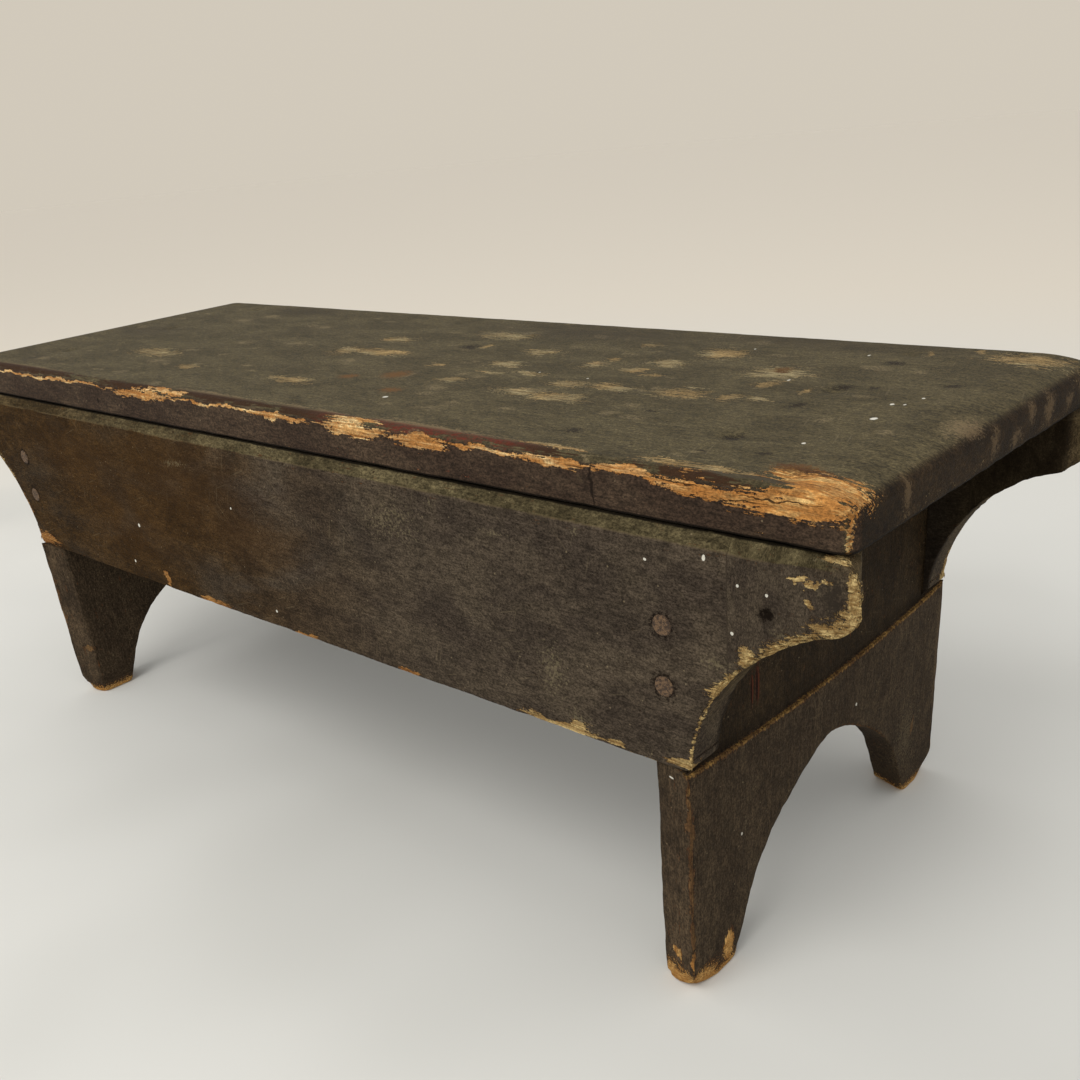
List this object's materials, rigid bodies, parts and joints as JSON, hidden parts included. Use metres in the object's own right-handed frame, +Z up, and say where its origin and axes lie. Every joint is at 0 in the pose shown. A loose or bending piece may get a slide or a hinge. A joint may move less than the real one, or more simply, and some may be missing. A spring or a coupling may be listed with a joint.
{
  "type": "shoe fitting stool",
  "caption": "Low plank stool: a flat board top on side boards with ogee ends and plank legs with an arched cut-out, nailed together",
  "frame": {"origin": "on the floor, under the middle of the top", "axes": "X along the length, Y from the front apron to the rear apron, Z up from the floor to the top face"},
  "size_m": [0.578, 0.197, 0.2],
  "materials": {
    "top_paint": "pine under very old dark paint, worn through in streaks",
    "apron_paint": "pine under very old dark brown paint, scuffed",
    "leg_paint": "pine under very old dark brown paint, soles bare",
    "nail_iron": "rusted iron"
  },
  "bodies": {
    "root": {"top_board": "top_paint", "front_apron": "apron_paint", "rear_apron": "apron_paint", "left_leg": "leg_paint", "right_leg": "leg_paint", "front_apron_nails": "nail_iron", "rear_apron_nails": "nail_iron", "top_leg_nails": "nail_iron", "top_apron_nails": "nail_iron"}
  },
  "joints": []
}
